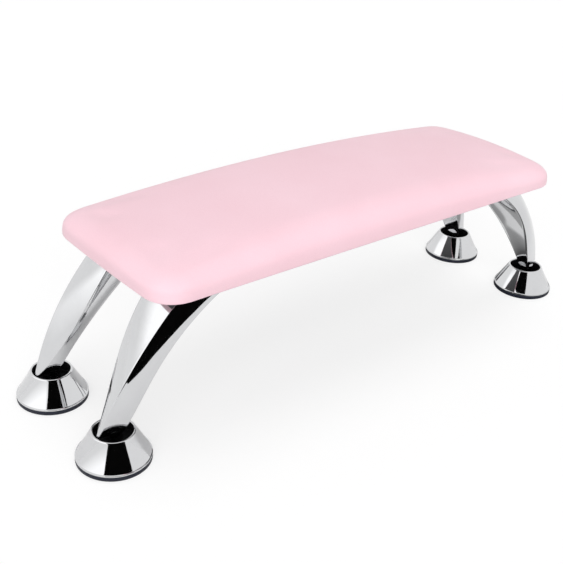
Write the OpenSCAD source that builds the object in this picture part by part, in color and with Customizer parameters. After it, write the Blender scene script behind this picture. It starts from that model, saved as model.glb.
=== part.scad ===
// Manicure hand rest: a low padded arm rest on four curved cast legs with levelling cone feet.
// X runs along the cushion, Y across it and Z up. The origin is on the table, under the middle.
// Left is minus X, front is minus Y.

/* [Cushion] */
// Length of the cushion
cushion_l = 341; // [290:1:420]
// Width of the cushion
cushion_w = 122; // [112:1:150]
// Height of the cushion's underside above the table
rest_h = 100.5; // [90:0.5:140]
// Thickness of the cushion at its rim
rim_t = 12; // [11:0.5:20]
// Radius of the cushion's corners seen from above
corner_r = 18; // [12:1:30]
// How far in the rounded top edge reaches
roll_w = 13; // [8:0.5:18]
// How far down the rounded top edge reaches
roll_h = 7; // [4:0.5:9]
// Rise of the crown along the length
crown_long = 8.4; // [2:0.2:14]
// Rise of the crown across the width
crown_cross = 3.8; // [1:0.2:8]
// How far each end bows out between its corners
end_bow = 1.5; // [0:0.1:4]
// How far the side draws in at the bottom
draw_in = 1.5; // [0.4:0.1:2]
// Height of the drawn-in part of the side
draw_h = 2.5; // [1:0.1:4]

/* [Upholstery] */
// Thickness of the cover
cover_t = 1; // [0.6:0.1:1.4]
// Width of the hem that is turned in under the board
hem_w = 22; // [18:1:28]
// Thickness of the dust cover
liner_t = 0.5; // [0.3:0.1:1]
// Distance from the cushion's edge to the dust cover
liner_inset = 5; // [4:0.5:8]
// Gap between a soft part and its neighbour
soft_gap = 0.3; // [0.2:0.05:0.5]

/* [Board] */
// Thickness of the board
board_t = 7; // [6.5:0.5:9]
// Distance from the cushion's edge to the board
board_inset = 3.5; // [3:0.1:5]

/* [Legs] */
// How far the foot's centre stands outside the cushion's end
foot_outreach = 16.5; // [10:0.5:22]
// Distance of the feet from the middle as a share of the cushion's half width
foot_row_share = 0.613; // [0.58:0.005:0.65]
// Run of a leg from its foot's centre to the far edge of its top
leg_run = 70; // [60:1:80]
// Gap between the fixing plates of a front leg and a rear leg
plate_gap = 10.4; // [6:0.2:16]
// Corner rounding of the casting
leg_round = 1; // [0.6:0.1:2.4]
// Depth of the scoop down the inner face
scoop = 3; // [0:0.2:3.6]
// Swell of the horn's two sides where they are fullest
side_swell = 1.9; // [0:0.1:2]
// Thickness of the fixing plate
plate_t = 3; // [3:0.5:4]
// Radius of the fixing plate's corners
plate_r = 6; // [3:0.5:9]
// Rim left round a fixing screw
screw_rim = 6.5; // [5.5:0.5:7]

/* [Feet] */
// Diameter of the foot
foot_d = 44; // [40:1:56]
// Thickness of the non-slip pad
pad_t = 3; // [2.5:0.5:5]
// Height of the cone's rim above the table
cone_top = 19.5; // [19:0.5:24]
// Diameter of the cone's open mouth
mouth_d = 23; // [22.6:0.2:26]
// Wall of the cone
cone_wall = 1.8; // [1.2:0.1:2.4]
// Thickness of the web that the stud goes through
web_t = 2; // [1.5:0.1:2.5]
// Travel of the levelling foot
level_travel = 5; // [2:0.5:6]

/* [Fasteners] */
// Diameter of the levelling stud
stud_d = 5; // [4:0.5:5.5]
// Width across flats of the stud's head and of its lock nut
stud_flats = 8; // [7:0.5:10]
// Height of the stud's head
stud_head_h = 3.5; // [3:0.1:4]
// Height of the lock nut
lock_nut_h = 2.8; // [2.2:0.1:3.4]
// Diameter of a leg screw
screw_d = 4; // [3:0.5:4]
// Diameter of a leg screw's head
screw_head_d = 8; // [6:0.5:8]
// Outer diameter of a tee nut's barrel
tee_barrel_d = 5.6; // [5.2:0.1:6.4]
// Diameter of a tee nut's flange
tee_flange_d = 14; // [12:0.5:16]
// Thickness of a tee nut's flange
tee_flange_t = 1; // [0.8:0.1:1.4]
// Thickness of the staple wire
wire_t = 0.6; // [0.4:0.1:0.8]
// Length of a staple's crown
crown_l = 9; // [7:0.5:11]
// Depth of a staple's points
staple_depth = 5; // [4:0.5:6]
// Wanted distance from one staple to the next
staple_pitch = 24; // [18:1:36]

/* [Hidden] */
$fn = 64;

// The four corners as signs of X and Y
front_left = [-1, -1];
front_right = [1, -1];
rear_left = [-1, 1];
rear_right = [1, 1];
corners = [front_left, front_right, rear_left, rear_right];

// Overrun of a cut past the face that it opens
over = 1;
// Radial clearance of a stud or nut in its bore
run_gap = 0.05;
// Radial clearance of a screw in the hole that it passes through
screw_gap = 0.25;

// Heights of the cushion's layers
hem_top_z = rest_h + cover_t;
board_top_z = rest_h + board_t;
liner_z = rest_h - liner_t;
half_l = cushion_l / 2;
half_w = cushion_w / 2;

// Centre of the rear right foot
foot_x = half_l + foot_outreach;
foot_y = half_w * foot_row_share;

// Smallest half width of the innermost ring of the crown
spine_w = 2;
// Smallest corner radius of a ring
spine_r = 1;
// Share of the crown's rise that the rim already has where the rounded edge starts
rim_rise_share = 0.4;
// Steps round a corner, along a long side, along a short side, up the rounded edge and over the crown
corner_steps = 5;
long_steps = 10;
short_steps = 4;
roll_steps = 5;
crown_steps = 4;

// Line of the hem's staples and of the dust cover's staples, from the cushion's edge
hem_staple_inset = 9;
liner_staple_inset = 15;
// Free length left at each end of a row of staples
row_end = 20;

// Height of a leg's top face, and where its horn and its threaded boss end
leg_top_z = liner_z;
plate_z = leg_top_z - plate_t;
// Clearance between the tip of the horn and the mouth of the cone
mouth_gap = 0.7;
// Depth of the horn's tip into the mouth
tip_dip = 1.5;
horn_z = cone_top - tip_dip;
// Depth and width of the horn's lower end
toe_depth = 14;
toe_w = 11.1;
// Slant of the lower end's inner side
toe_slant = 2;
// How far the plate stands proud of the horn
plate_lip = 1.6;
// Radius of the threaded boss under the horn
boss_r = 5.6;
// How far the boss stands above the cone's rim
boss_rise = 1.2;
// Swell of the horn's outer face at its top, and of every face at the lower end
face_swell = 1.2;
toe_swell = 0.25;
// Power that moves the fullest part of the sides up the horn
swell_lift = 2.4;

// Places of the horn's four ridges at its top: the run as a share of leg_run, the width of leg_w
top_run_shares = [0.647, 1, 0.983, 0.584];
top_width_shares = [0.218, 0.424, -0.565, -0.535];
// Bow of each ridge between its ends, and how far the bow leans upwards, as shares of leg_run
bow_run_shares = [0.109, 0.16, 0.127, 0.02];
lean_run_shares = [0.014, 0.096, 0.009, 0.059];
// Width of a horn at its top: its plate ends half a gap from the middle, two screw rims past it
leg_w = (foot_y - plate_gap / 2 - 2 * screw_rim) / -top_width_shares[2];
// Sideways bow of each ridge as shares of leg_w
bow_width_shares = [0.044, 0.034, -0.063, -0.158];
// Places of the ridges at the lower end as shares of toe_w
toe_width_shares = [0.13, 0.48, -0.52, -0.13];
// Steps along a horn, round each of its ridges and across each of its faces
horn_steps = 18;
ridge_steps = 4;
face_steps = 4;
// Longest stretch of a side that a ridge's rounding may take
round_limit_share = 0.36;

// Foot: heights of the stud's head, the web, the lock nut and the leg's boss
foot_r = foot_d / 2;
mouth_r = mouth_d / 2;
stud_r = stud_d / 2;
// Gap between the stud's head and the pad
head_gap = 0.4;
// Gap between the lock nut and the boss
boss_gap = 0.6;
head_z = pad_t + head_gap;
web_z = head_z + stud_head_h;
nut_z = web_z + web_t;
boss_z = nut_z + lock_nut_h + boss_gap;
// Length of stud that stays screwed into the leg when the foot is fully out
least_grip = 7.7;
stud_grip = least_grip + level_travel;
// Space left above the stud in its bore
bore_spare = 1;
stud_top_z = boss_z + stud_grip;
// Height and step of the lip round the cone's base
lip_h = 0.9;
lip_step = 0.8;
lip_ease = 0.3;
// Width and rounding of the rim round the cone's mouth
rim_w = 1.5;
rim_ease = 0.7;
// Height and width of the collar that plugs the pad into the cone, and its clearance
plug_h = 2.5;
plug_w = 2;
plug_gap = 0.3;
// Depth and width of the grooves under the pad
groove_d = 0.8;
groove_w = 1.6;
// Edge rounding of the pad
pad_ease = 0.4;
// Radii of the grooves as shares of the foot's radius
groove_shares = [0.5, 0.68, 0.86];

// Screws and tee nuts
screw_r = screw_d / 2;
screw_head_r = screw_head_d / 2;
screw_head_h = screw_head_r - screw_r;
screw_top_z = board_top_z - tee_flange_t;
// Depth and width of the cross recess in a screw's head
cross_d = 1.2;
cross_w = 1;
cross_l = 4.4;
// Length and size of a tee nut's prongs
prong_h = 3.5;
prong_t = 1;
prong_w = 2;
prongs = 3;

// A point between a and b
function mix(a, b, s) = a + (b - a) * s;

// Half outline of the cushion at an inset: a rounded rectangle whose ends bow out
function bowed(p) = [p.x * (1 - end_bow / half_l * pow(p.y / half_w, 2)), p.y];

function arc_points(sx, sy, from, inset) =
    let (r = max(corner_r - inset, spine_r))
    [for (j = [0 : corner_steps])
        let (a = from + 90 * j / corner_steps)
        [sx * (half_l - inset - r) + r * cos(a), sy * (half_w - inset - r) + r * sin(a)]];

function side_points(a, b, steps) = [for (j = [1 : steps - 1]) mix(a, b, j / steps)];

function outline(inset) =
    let (
        c0 = arc_points(1, 1, 0, inset),
        c1 = arc_points(-1, 1, 90, inset),
        c2 = arc_points(-1, -1, 180, inset),
        c3 = arc_points(1, -1, 270, inset),
        e = corner_steps
    )
    [for (p = concat(
        c0, side_points(c0[e], c1[0], long_steps),
        c1, side_points(c1[e], c2[0], short_steps),
        c2, side_points(c2[e], c3[0], long_steps),
        c3, side_points(c3[e], c0[0], short_steps))) bowed(p)];

// Rise of the crown over the rim at a point
function crown(p) =
    crown_long * (1 - pow(p.x / half_l, 2)) + crown_cross * (1 - pow(p.y / half_w, 2));

// One ring of the cushion's surface: an inset, a height, and the share of the crown it takes
function ring(inset, z, share) = [for (p = outline(inset)) [p.x, p.y, z + share * crown(p)]];

// All rings of the cushion's surface drawn in by a skin, from its bottom face to its spine
function cushion_rings(skin, bottom_z) =
    let (
        start_z = rest_h + rim_t - roll_h,
        low = [
            ring(skin + draw_in, bottom_z, 0),
            ring(skin, bottom_z + draw_h, 0)
        ],
        roll = [for (j = [0 : roll_steps])
            let (a = 90 * j / roll_steps)
            ring(skin + (roll_w - skin) * (1 - cos(a)),
                start_z + (roll_h - skin) * sin(a),
                mix(rim_rise_share, 1, sin(a)))],
        top = [for (j = [1 : crown_steps])
            ring(mix(roll_w, half_w - spine_w, j / crown_steps), rest_h + rim_t - skin, 1)]
    )
    concat(low, roll, top);

// Closed solid from rings of equal count, its flat bottom first and a ladder of faces on its crown
module crowned_solid(rings) {
    n = len(rings[0]);
    m = len(rings);
    last = (m - 1) * n;
    right_end = n - short_steps;
    left_end = 2 * corner_steps + long_steps;
    sides = [for (k = [0 : m - 2], i = [0 : n - 1])
        let (a = k * n + i, b = k * n + (i + 1) % n)
        each [[a, a + n, b + n], [a, b + n, b]]];
    ladder = [for (i = [1 : left_end - 2])
        let (a = last + i, b = last + right_end - i)
        each [[a, b, a + 1], [a + 1, b, b - 1]]];
    right_fan = [for (i = [right_end - 1 : n - 1])
        [last + 1, last + (i + 1) % n, last + i]];
    left_fan = [for (i = [left_end : right_end - left_end])
        [last + left_end - 1, last + i + 1, last + i]];
    polyhedron(
        points = [for (r = rings) each r],
        faces = concat([[for (i = [0 : n - 1]) i]], sides, ladder, right_fan, left_fan));
}

// Rounded rectangle of exact arcs
module round_rect(l, w, r) {
    square([l - 2 * r, w], center = true);
    square([l, w - 2 * r], center = true);
    for (c = corners) {
        translate([c.x * (l / 2 - r), c.y * (w / 2 - r)]) circle(r);
    }
}

// Slab that keeps one distance inside the cushion's edge
module slab(inset, from_z, to_z) {
    translate([0, 0, from_z])
        linear_extrude(to_z - from_z)
            round_rect(cushion_l - 2 * inset - 2 * end_bow, cushion_w - 2 * inset,
                max(corner_r - inset, spine_r));
}

// Puts a corner's pieces, drawn for the rear right one, at the corner that the signs name
module at_corner(c) {
    translate([c.x * foot_x, c.y * foot_y, 0])
        mirror([c.x < 0 ? 1 : 0, 0, 0])
            mirror([0, c.y < 0 ? 1 : 0, 0])
                children();
}

// Places of a leg's three fixing screws from the centre of its foot
screw_run = -leg_run - screw_rim;
screw_side = top_width_shares[2] * leg_w - screw_rim;
screw_places = [
    [screw_run, top_width_shares[1] * leg_w - screw_rim],
    [screw_run, screw_side],
    [-top_run_shares[3] * leg_run - screw_rim, screw_side]];

module at_screws() {
    for (c = corners) at_corner(c) for (p = screw_places) translate(p) children();
}

module screw_holes(from_z, to_z, r) {
    at_screws() translate([0, 0, from_z]) cylinder(h = to_z - from_z, r = r);
}

// A row's places: as many as come nearest the wanted pitch, evenly spread over the run
function row_places(run, pitch) =
    let (n = max(2, round(run / pitch)))
    [for (i = [0 : n]) mix(-run / 2, run / 2, i / n)];

// One staple: a crown along X whose lower face is at the height given, and two points upwards
module staple(z, gap) {
    t = wire_t + 2 * gap;
    translate([-crown_l / 2 - gap, -t / 2, z]) cube([crown_l + 2 * gap, t, wire_t + gap]);
    for (s = [-1, 1]) {
        translate([s * (crown_l - wire_t) / 2 - t / 2, -t / 2, z])
            cube([t, t, staple_depth + gap]);
    }
}

// Staples of the hem, all round
module hem_staples(gap) {
    y = half_w - hem_staple_inset;
    x = half_l - end_bow - hem_staple_inset;
    for (p = row_places(2 * (half_l - row_end), staple_pitch), s = [-1, 1])
        translate([p, s * y, 0]) staple(rest_h, gap);
    for (p = row_places(2 * (half_w - row_end), staple_pitch), s = [-1, 1])
        translate([s * x, p, 0]) rotate(90) staple(rest_h, gap);
}

// Staples of the dust cover, only where no fixing plate lies
module cover_free_staples(gap) {
    y = half_w - liner_staple_inset;
    x = half_l - end_bow - liner_staple_inset;
    z = liner_z - wire_t;
    free_run = 2 * (foot_x - leg_run - 2 * screw_rim - row_end);
    for (p = row_places(free_run, 2 * staple_pitch), s = [-1, 1])
        translate([p, s * y, 0]) staple(z, gap);
    for (p = row_places(half_w - liner_staple_inset, staple_pitch), s = [-1, 1])
        translate([s * x, p, 0]) rotate(90) staple(z, gap);
}

module cover() {
    color([0.96, 0.82, 0.86])
    difference() {
        crowned_solid(cushion_rings(0, rest_h));
        crowned_solid(cushion_rings(cover_t, hem_top_z));
        slab(hem_w, rest_h - over, hem_top_z + over);
        hem_staples(run_gap);
        cover_free_staples(run_gap);
        screw_holes(rest_h - over, hem_top_z + over, screw_r + screw_gap);
    }
}

module foam_core() {
    color([0.95, 0.93, 0.85])
    difference() {
        crowned_solid(cushion_rings(cover_t + soft_gap, hem_top_z + soft_gap));
        slab(board_inset - soft_gap, rest_h, board_top_z);
        screw_holes(board_top_z - over, board_top_z + tee_flange_t + soft_gap,
            tee_flange_d / 2 + soft_gap);
    }
}

module base_board() {
    color([0.72, 0.57, 0.4])
    difference() {
        union() {
            slab(board_inset, hem_top_z, board_top_z);
            slab(hem_w + soft_gap, rest_h, board_top_z - board_t / 2);
        }
        screw_holes(rest_h - over, board_top_z + over, tee_barrel_d / 2 + run_gap);
        tee_prongs(run_gap);
        hem_staples(run_gap);
        cover_free_staples(run_gap);
    }
}

module bottom_liner() {
    color([0.12, 0.12, 0.13])
    difference() {
        slab(liner_inset, liner_z, rest_h);
        screw_holes(liner_z - over, rest_h + over, screw_r + screw_gap);
        cover_free_staples(run_gap);
    }
}

module cover_staples() {
    color([0.75, 0.75, 0.76]) hem_staples(0);
}

module liner_staples() {
    color([0.75, 0.75, 0.76]) cover_free_staples(0);
}

// Prongs of every tee nut, set round its flange
module tee_prongs(gap) {
    at_screws()
        for (i = [0 : prongs - 1])
            rotate(360 * i / prongs)
                translate([tee_flange_d / 2 - prong_t - gap, -prong_w / 2 - gap, board_top_z - prong_h])
                    cube([prong_t + 2 * gap, prong_w + 2 * gap, prong_h + tee_flange_t / 2]);
}

module tee_nuts() {
    color([0.8, 0.78, 0.7])
    difference() {
        union() {
            at_screws() {
                translate([0, 0, board_top_z]) cylinder(h = tee_flange_t, r = tee_flange_d / 2);
                translate([0, 0, hem_top_z]) cylinder(h = board_top_z - hem_top_z, r = tee_barrel_d / 2);
            }
            tee_prongs(0);
        }
        screw_holes(hem_top_z - over, board_top_z + tee_flange_t + over, screw_r + run_gap);
    }
}

module leg_screws() {
    color([0.8, 0.8, 0.82])
    difference() {
        at_screws() {
            translate([0, 0, plate_z]) cylinder(h = screw_head_h, r1 = screw_head_r, r2 = screw_r);
            translate([0, 0, plate_z]) cylinder(h = screw_top_z - plate_z, r = screw_r);
        }
        at_screws()
            for (a = [0, 90])
                rotate(a)
                    translate([-cross_l / 2, -cross_w / 2, plate_z - over])
                        cube([cross_l, cross_w, cross_d + over]);
    }
}

// Lower end of the four ridges: outer outboard, inner outboard, inner inboard, outer inboard
toe_reach = mouth_r - mouth_gap;
toe_points = [
    [toe_reach, toe_width_shares[0] * toe_w],
    [toe_reach - toe_depth, toe_width_shares[1] * toe_w],
    [toe_reach - toe_depth + toe_slant, toe_width_shares[2] * toe_w],
    [toe_reach, toe_width_shares[3] * toe_w]];

// Place of ridge i at the share t of the horn's height
function ridge(i, t) =
    let (arch = 4 * t * (1 - t))
    [
        mix(toe_points[i].x, -top_run_shares[i] * leg_run, t)
            + arch * (bow_run_shares[i] + lean_run_shares[i] * (2 * t - 1)) * leg_run,
        mix(toe_points[i].y, top_width_shares[i] * leg_w, t) + arch * bow_width_shares[i] * leg_w
    ];

// Points of a rounded corner b between a and c
function rounded(a, b, c) =
    let (
        s = min(leg_round / norm(a - b), round_limit_share),
        e = min(leg_round / norm(c - b), round_limit_share),
        p = mix(b, a, s),
        q = mix(b, c, e)
    )
    [for (j = [0 : ridge_steps])
        let (k = j / ridge_steps) mix(mix(p, b, k), mix(b, q, k), k)];

// Points across a face from a to b, pushed out by a swell, which is negative for a scoop
function face_points(a, b, swell) =
    let (d = b - a, out = [d.y, -d.x] / norm(d))
    [for (j = [1 : face_steps - 1])
        let (k = j / face_steps) mix(a, b, k) + out * swell * 4 * k * (1 - k)];

// Swell of the two sides at the share t of the horn's height, which fades out at the plate
function side_swell_at(t) =
    let (k = pow(t, swell_lift)) toe_swell * (1 - t) + side_swell * 4 * k * (1 - k);

// Closed section of the horn at the share t of its height
function horn_ring(t) =
    let (
        r = [for (i = [0 : 3]) ridge(i, t)],
        c = [for (i = [0 : 3]) rounded(r[(i + 3) % 4], r[i], r[(i + 1) % 4])],
        e = ridge_steps,
        z = mix(horn_z, leg_top_z, t),
        points = concat(
            c[0], face_points(c[0][e], c[1][0], side_swell_at(t)),
            c[1], face_points(c[1][e], c[2][0], mix(toe_swell, -scoop, t)),
            c[2], face_points(c[2][e], c[3][0], side_swell_at(t)),
            c[3], face_points(c[3][e], c[0][0], mix(toe_swell, face_swell, t)))
    )
    [for (p = points) [p.x, p.y, z]];

// Solid from rings of equal count with flat ends
module lofted(rings) {
    n = len(rings[0]);
    m = len(rings);
    polyhedron(
        points = [for (r = rings) each r],
        faces = concat(
            [[for (i = [0 : n - 1]) i]],
            [[for (i = [n - 1 : -1 : 0]) (m - 1) * n + i]],
            [for (k = [0 : m - 2], i = [0 : n - 1])
                let (a = k * n + i, b = k * n + (i + 1) % n)
                each [[a, a + n, b + n], [a, b + n, b]]]));
}

// Share of the horn's height that ends half way up the plate
horn_top_share = (leg_top_z - plate_t / 2 - horn_z) / (leg_top_z - horn_z);
plate_out = -top_run_shares[3] * leg_run;
plate_in = screw_run - screw_rim;
plate_up = top_width_shares[1] * leg_w + plate_lip;
plate_down = screw_side - screw_rim;

module leg(c) {
    color([0.82, 0.83, 0.85])
    at_corner(c)
    difference() {
        union() {
            lofted([for (k = [0 : horn_steps]) horn_ring(horn_top_share * k / horn_steps)]);
            translate([(plate_out + plate_in) / 2, (plate_up + plate_down) / 2, plate_z])
                linear_extrude(plate_t) round_rect(plate_out - plate_in, plate_up - plate_down, plate_r);
            translate([0, 0, boss_z]) cylinder(h = cone_top + boss_rise - boss_z, r = boss_r);
        }
        translate([0, 0, boss_z - over])
            cylinder(h = stud_grip + bore_spare + over, r = stud_r + run_gap);
        for (p = screw_places) translate(p) {
            translate([0, 0, plate_z - over])
                cylinder(h = plate_t + 2 * over, r = screw_r + screw_gap);
            translate([0, 0, plate_z])
                cylinder(h = screw_head_h, r1 = screw_head_r + run_gap, r2 = screw_r + run_gap);
        }
    }
}

// Outer radius of the cone's wall at a height
cone_foot_z = pad_t + lip_h + lip_ease;
cone_rim_z = cone_top - rim_ease;
function cone_r(z) =
    mix(foot_r - lip_step, mouth_r + rim_w, (z - cone_foot_z) / (cone_rim_z - cone_foot_z));

module foot_cone(c) {
    bore_r = stud_r + run_gap;
    color([0.82, 0.83, 0.85])
    at_corner(c)
    rotate_extrude()
        polygon([
            [foot_r, pad_t], [foot_r, pad_t + lip_h], [foot_r - lip_step, cone_foot_z],
            [mouth_r + rim_w, cone_rim_z], [mouth_r + rim_w - rim_ease / 2, cone_top - rim_ease / 4],
            [mouth_r + rim_w / 2, cone_top], [mouth_r + rim_ease / 2, cone_top - rim_ease / 4],
            [mouth_r, cone_rim_z],
            [cone_r(nut_z) - cone_wall, nut_z], [bore_r, nut_z],
            [bore_r, web_z], [cone_r(web_z) - cone_wall, web_z],
            [foot_r - cone_wall - lip_step, cone_foot_z], [foot_r - cone_wall, pad_t]
        ]);
}

module hexagon(h) {
    cylinder(h = h, r = stud_flats / 2 / cos(30), $fn = 6);
}

module foot_stud(c) {
    color([0.7, 0.71, 0.73])
    at_corner(c) {
        translate([0, 0, head_z]) hexagon(stud_head_h);
        translate([0, 0, head_z]) cylinder(h = stud_top_z - head_z, r = stud_r);
    }
}

module lock_nut(c) {
    color([0.7, 0.71, 0.73])
    at_corner(c)
    translate([0, 0, nut_z])
    difference() {
        hexagon(lock_nut_h);
        translate([0, 0, -over]) cylinder(h = lock_nut_h + 2 * over, r = stud_r + run_gap);
    }
}

module foot_pad(c) {
    plug_r = cone_r(pad_t + plug_h) - cone_wall - plug_gap;
    color([0.1, 0.11, 0.15])
    at_corner(c)
    difference() {
        rotate_extrude()
            polygon([
                [0, 0], [foot_r - pad_ease, 0], [foot_r, pad_ease], [foot_r, pad_t],
                [plug_r, pad_t], [plug_r, pad_t + plug_h], [plug_r - plug_w, pad_t + plug_h],
                [plug_r - plug_w, pad_t], [0, pad_t]
            ]);
        for (s = groove_shares)
            translate([0, 0, -over])
                difference() {
                    cylinder(h = groove_d + over, r = s * foot_r + groove_w / 2);
                    translate([0, 0, -over])
                        cylinder(h = groove_d + 3 * over, r = s * foot_r - groove_w / 2);
                }
    }
}

cover();
foam_core();
base_board();
bottom_liner();
cover_staples();
liner_staples();
tee_nuts();
leg_screws();
leg(front_left);  // leg_front_left
leg(front_right);  // leg_front_right
leg(rear_left);  // leg_rear_left
leg(rear_right);  // leg_rear_right
foot_cone(front_left);  // foot_cone_front_left
foot_cone(front_right);  // foot_cone_front_right
foot_cone(rear_left);  // foot_cone_rear_left
foot_cone(rear_right);  // foot_cone_rear_right
foot_stud(front_left);  // foot_stud_front_left
foot_stud(front_right);  // foot_stud_front_right
foot_stud(rear_left);  // foot_stud_rear_left
foot_stud(rear_right);  // foot_stud_rear_right
lock_nut(front_left);  // lock_nut_front_left
lock_nut(front_right);  // lock_nut_front_right
lock_nut(rear_left);  // lock_nut_rear_left
lock_nut(rear_right);  // lock_nut_rear_right
foot_pad(front_left);  // foot_pad_front_left
foot_pad(front_right);  // foot_pad_front_right
foot_pad(rear_left);  // foot_pad_rear_left
foot_pad(rear_right);  // foot_pad_rear_right
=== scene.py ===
# %% [markdown]
# Manicure hand rest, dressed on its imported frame.
#
# The real object is a long, low cushion of pale pink leatherette on four curved, chromed castings.
# Each casting stands in a hollow chrome cone with a dark non-slip pad under it.
# The frame brings every hard part at its real size. This script gives each visible part its finish,
# and models the soft parts and the smooth chrome shapes again, finer than the frame holds them.
# Lengths are in metres. X runs along the cushion, Y across it, Z up, and the table is at Z zero.

# %% Load the frame
import math

import bmesh
import bpy
from mathutils import Matrix, Vector


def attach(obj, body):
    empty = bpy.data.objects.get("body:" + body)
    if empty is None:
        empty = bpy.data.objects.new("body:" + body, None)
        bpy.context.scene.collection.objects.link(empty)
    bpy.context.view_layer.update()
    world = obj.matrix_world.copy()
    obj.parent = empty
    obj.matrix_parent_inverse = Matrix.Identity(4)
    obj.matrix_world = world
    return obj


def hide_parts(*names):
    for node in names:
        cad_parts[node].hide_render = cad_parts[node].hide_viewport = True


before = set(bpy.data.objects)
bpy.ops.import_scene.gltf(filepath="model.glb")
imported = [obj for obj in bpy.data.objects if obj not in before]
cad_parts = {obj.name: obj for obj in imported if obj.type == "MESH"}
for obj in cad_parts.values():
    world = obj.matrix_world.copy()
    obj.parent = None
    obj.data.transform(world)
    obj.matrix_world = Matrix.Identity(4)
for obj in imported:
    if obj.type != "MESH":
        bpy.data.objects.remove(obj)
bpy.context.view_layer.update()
MM = 0.001
CORNERS = {
    "front_left": (-1, -1),
    "front_right": (1, -1),
    "rear_left": (-1, 1),
    "rear_right": (1, 1),
}
# Centre of the rear right foot, and the leg screws' places from it in millimetres
FOOT_X, FOOT_Y = 187 * MM, 37.393 * MM
SCREW_PLACES = [(-76.5, 7.92), (-76.5, -25.7), (-47.38, -25.7)]

# %% [markdown]
# The camera comes first, because everything else is compared with the photograph through it.
# It was solved from the four round feet, the ridges of the legs and the cushion's outline.
# It stands front left of the rest, looks down at about 28 degrees, and leans by a few degrees.
# The lens is written as a focal length in pixels of the photograph, turned into millimetres of a
# 36 mm sensor, because Blender lays the sensor's width along the frame's longer side.

# %% Camera
PHOTO_HEIGHT_PX = 564
FOCAL_PX = 923.3
SENSOR = 36.0
CAMERA_AZIMUTH = math.radians(-40.97)
CAMERA_ELEVATION = math.radians(27.824)
CAMERA_ROLL = math.radians(3.593)
CAMERA_PLACE = Vector((-393.5, -411.3, 340.1)) * MM


def make_camera():
    """The photograph's camera, turned by azimuth, elevation and roll."""
    a, e, r = CAMERA_AZIMUTH, CAMERA_ELEVATION, CAMERA_ROLL
    back = Vector((math.sin(a) * math.cos(e), -math.cos(a) * math.cos(e), math.sin(e)))
    level = Vector((math.cos(a), math.sin(a), 0))
    upright = back.cross(level)
    right = math.cos(r) * level + math.sin(r) * upright
    up = math.cos(r) * upright - math.sin(r) * level
    data = bpy.data.cameras.new("camera")
    data.sensor_width = SENSOR
    data.lens = FOCAL_PX * SENSOR / PHOTO_HEIGHT_PX
    data.clip_start = 0.01
    camera = bpy.data.objects.new("camera", data)
    bpy.context.scene.collection.objects.link(camera)
    turn = Matrix((right, up, back)).transposed()
    camera.matrix_world = Matrix.Translation(CAMERA_PLACE) @ turn.to_4x4()
    bpy.context.scene.camera = camera
    return camera


camera = make_camera()
print("camera lens:", round(camera.data.lens, 2), "mm")

# %% [markdown]
# A few helpers keep the modelling short. Operators work on whatever is selected, and loading the
# frame leaves its nodes selected, so each piece starts from an empty selection. A finished piece
# has its place in its mesh and its object at the origin, as the frame's nodes have.

# %% Helpers for modelling


def deselect_all():
    """Leaves edit mode and clears the selection."""
    if bpy.context.object and bpy.context.object.mode != "OBJECT":
        bpy.ops.object.mode_set(mode="OBJECT")
    bpy.ops.object.select_all(action="DESELECT")


def take(piece):
    """Makes one piece the selected and active one."""
    deselect_all()
    piece.select_set(True)
    bpy.context.view_layer.objects.active = piece
    return piece


def edit(piece):
    """Opens a piece in edit mode with nothing selected and returns its editable mesh."""
    take(piece)
    bpy.ops.object.mode_set(mode="EDIT")
    bpy.ops.mesh.select_mode(type="VERT")
    bpy.ops.mesh.select_all(action="DESELECT")
    return bmesh.from_edit_mesh(piece.data)


def settle(piece):
    """Leaves edit mode and moves the piece's place, turn and scale into its mesh."""
    take(piece)
    bpy.ops.object.transform_apply(location=True, rotation=True, scale=True)
    return piece


def apply_modifier(piece, kind, **values):
    """Adds a modifier with its values and applies it."""
    take(piece)
    modifier = piece.modifiers.new(kind.lower(), kind)
    for name, value in values.items():
        setattr(modifier, name, value)
    bpy.ops.object.modifier_apply(modifier=modifier.name)
    return piece


def face_outwards(piece):
    """Merges doubles and turns every face outwards."""
    edit(piece)
    bpy.ops.mesh.select_all(action="SELECT")
    bpy.ops.mesh.remove_doubles(threshold=0.002 * MM)
    bpy.ops.mesh.normals_make_consistent(inside=False)
    bpy.ops.object.mode_set(mode="OBJECT")
    return piece


def smooth(piece, angle=35):
    """Shades the piece smooth, with edges sharper than the angle left crisp."""
    take(piece)
    bpy.ops.object.shade_smooth_by_angle(angle=math.radians(angle))
    return piece


def triangles(piece):
    """How many triangles the piece has."""
    return sum(len(p.vertices) - 2 for p in piece.data.polygons)


def start_grid(name, count_x, count_y):
    """A flat grid from minus one to one both ways."""
    deselect_all()
    bpy.ops.mesh.primitive_grid_add(x_subdivisions=count_x, y_subdivisions=count_y, size=2)
    piece = bpy.context.object
    piece.name = name
    return piece


def start_ring(name, places, fill="NOTHING"):
    """A closed ring of points on the given places."""
    deselect_all()
    bpy.ops.mesh.primitive_circle_add(vertices=len(places), radius=MM, fill_type=fill)
    piece = bpy.context.object
    piece.name = name
    for point, place in zip(piece.data.vertices, places):
        point.co = place
    return piece


# %% [markdown]
# Smooth shapes are drawn out rim by rim, the way a potter pulls a wall up. A ring of points is put
# on the first section. Its rim is extruded, and the new points go to their places on the next
# section. Each point carries a number, which an extrusion copies, so it finds its place.

# %% Draw a shape out from rim to rim
HOLD = {"TRANSFORM_OT_translate": {"value": (0, 0, 0)}}


def number_points(piece):
    """Gives every point of a mesh its number, to be copied by each extrusion."""
    layer = piece.data.attributes.new("number", "INT", "POINT")
    layer.data.foreach_set("value", range(len(piece.data.vertices)))


def place_selected(piece, ring):
    """Puts each selected point on its numbered place of the ring."""
    mesh = bmesh.from_edit_mesh(piece.data)
    number = mesh.verts.layers.int["number"]
    for point in mesh.verts:
        if point.select:
            point.co = ring[point[number]]
    bmesh.update_edit_mesh(piece.data)


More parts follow.
